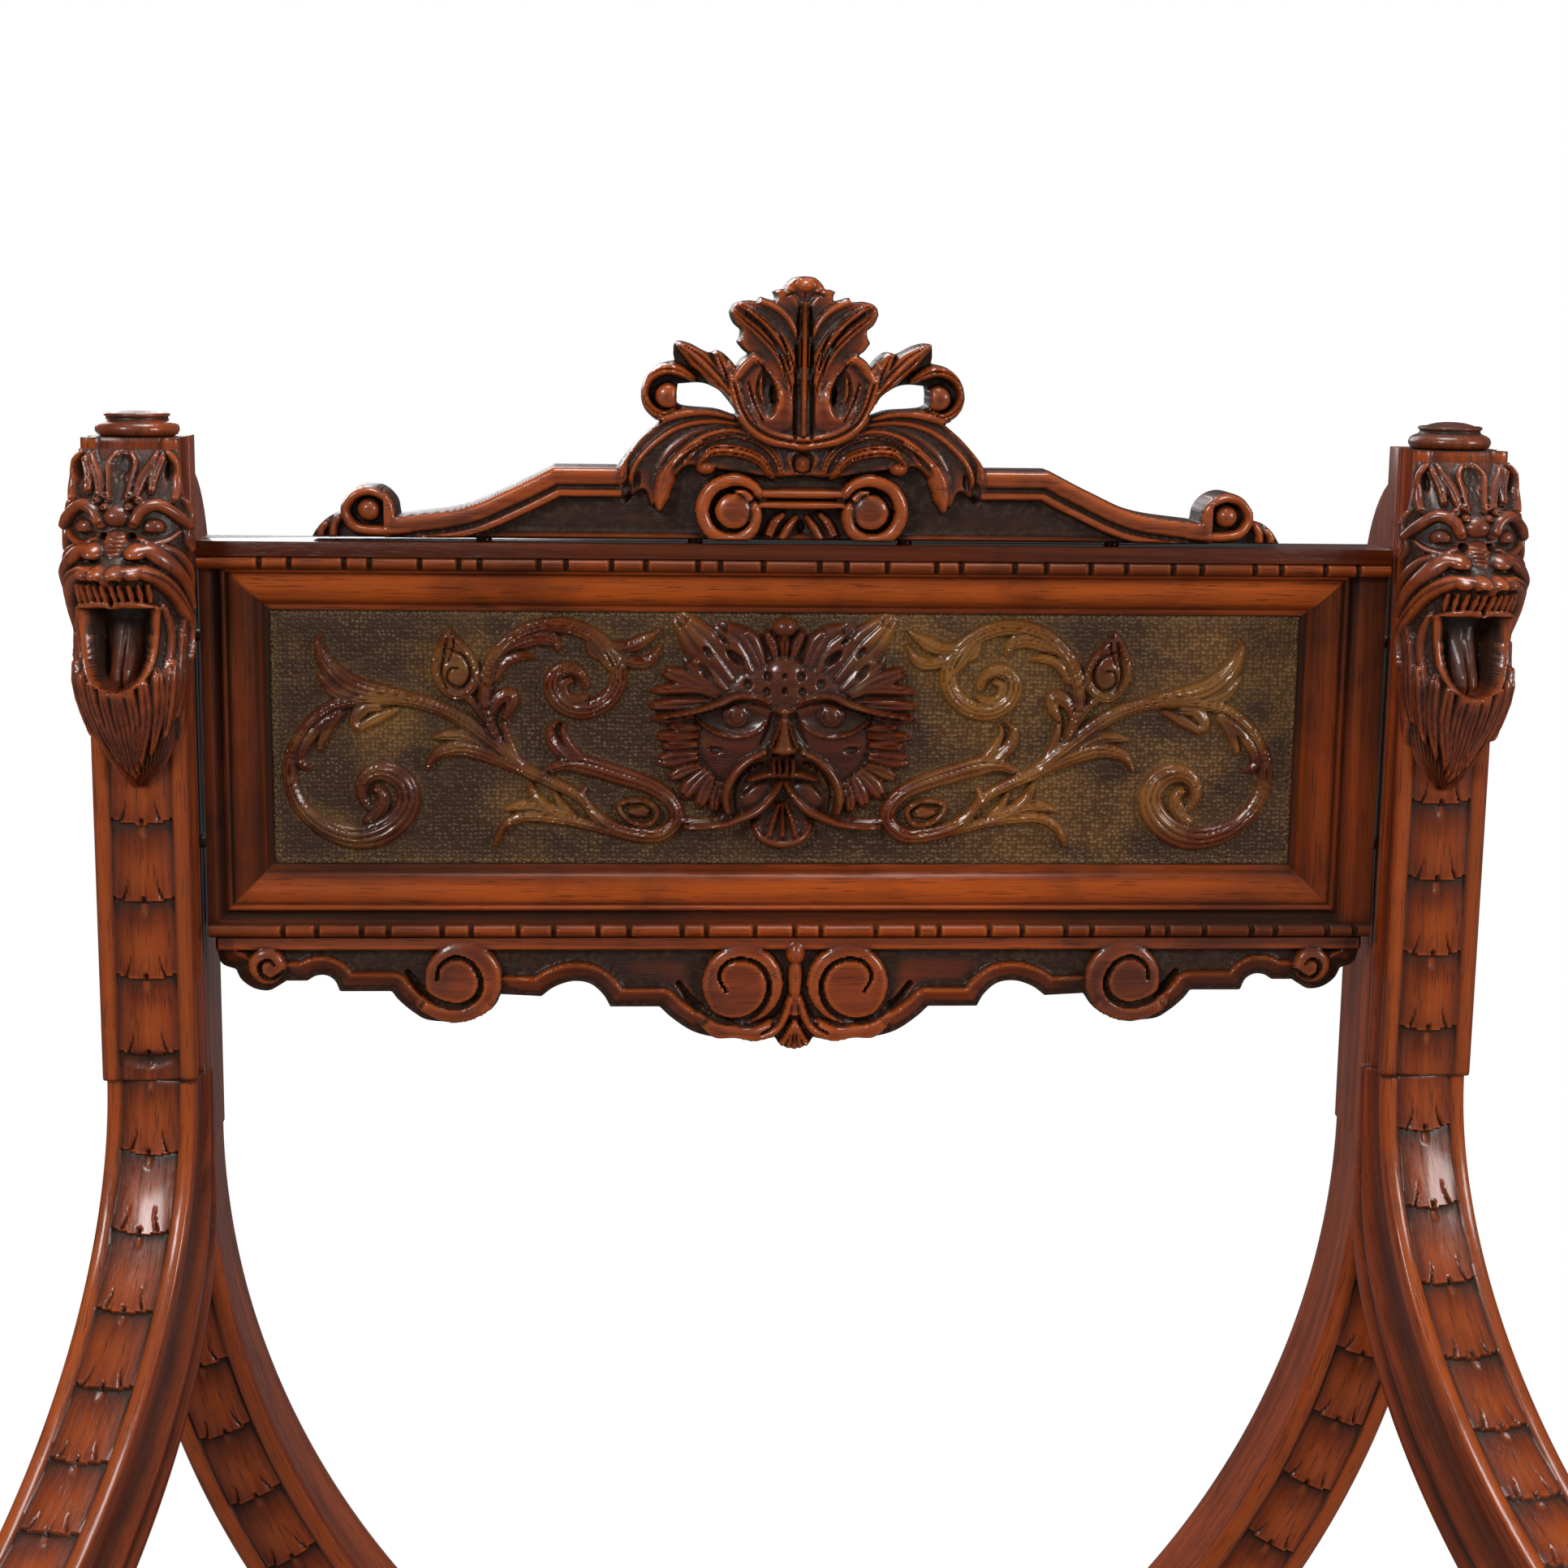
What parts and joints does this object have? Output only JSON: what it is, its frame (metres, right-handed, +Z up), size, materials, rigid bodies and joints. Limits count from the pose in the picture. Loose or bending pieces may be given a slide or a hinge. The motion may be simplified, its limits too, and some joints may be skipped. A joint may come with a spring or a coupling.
{
  "type": "savonarola chair",
  "caption": "Carved walnut armchair on two curved X frames, with scroll arms, beast-head posts, a mask panel and a pierced crest on its lift-out back.",
  "frame": {"origin": "on the floor, below the middle of the chair's outline", "axes": "+Z up, the sitter faces -Y, +X to the right when seen from the front"},
  "size_m": [0.8142, 0.58, 1.15],
  "materials": {
    "walnut": "polished, dark in the recesses",
    "carved_walnut": "waxed carving, near-black in the recesses",
    "back_walnut": "varnished mouldings",
    "gilded_panel": "carved, ground with a worn gold wash",
    "seat_walnut": "waxed",
    "steel": "dull"
  },
  "bodies": {
    "frame": {"left_rear_member": "walnut", "right_rear_member": "walnut", "left_front_member": "walnut", "right_front_member": "walnut", "left_head_post": "carved_walnut", "right_head_post": "carved_walnut", "left_finial": "walnut", "right_finial": "walnut", "left_arm": "carved_walnut", "right_arm": "carved_walnut", "left_runner": "walnut", "right_runner": "walnut", "front_left_foot": "walnut", "front_right_foot": "walnut", "rear_left_foot": "walnut", "rear_right_foot": "walnut", "stretcher": "walnut", "front_rosette": "walnut", "rear_rosette": "walnut", "seat_front_rail": "walnut", "seat_rear_rail": "walnut", "seat_left_rail": "walnut", "seat_right_rail": "walnut", "back_pins": "steel"},
    "back": {"left_stile": "back_walnut", "right_stile": "back_walnut", "back_top_rail": "back_walnut", "back_bottom_rail": "back_walnut", "carved_panel": "gilded_panel", "back_cap": "back_walnut", "upper_bead": "back_walnut", "lower_bead": "back_walnut", "apron": "carved_walnut", "crest_board": "carved_walnut", "crest_dowels": "back_walnut"},
    "seat": {"seat_board_1": "seat_walnut", "seat_board_2": "seat_walnut", "seat_board_3": "seat_walnut", "seat_board_4": "seat_walnut", "seat_front_batten": "seat_walnut", "seat_rear_batten": "seat_walnut"}
  },
  "joints": [
    {"name": "back_lift", "type": "slide", "parent": "frame", "child": "back", "axis": [0, 0, 1], "range_m": [0, 0.3]},
    {"name": "seat_lift", "type": "slide", "parent": "frame", "child": "seat", "axis": [0, 0, 1], "range_m": [0, 0.12]}
  ]
}
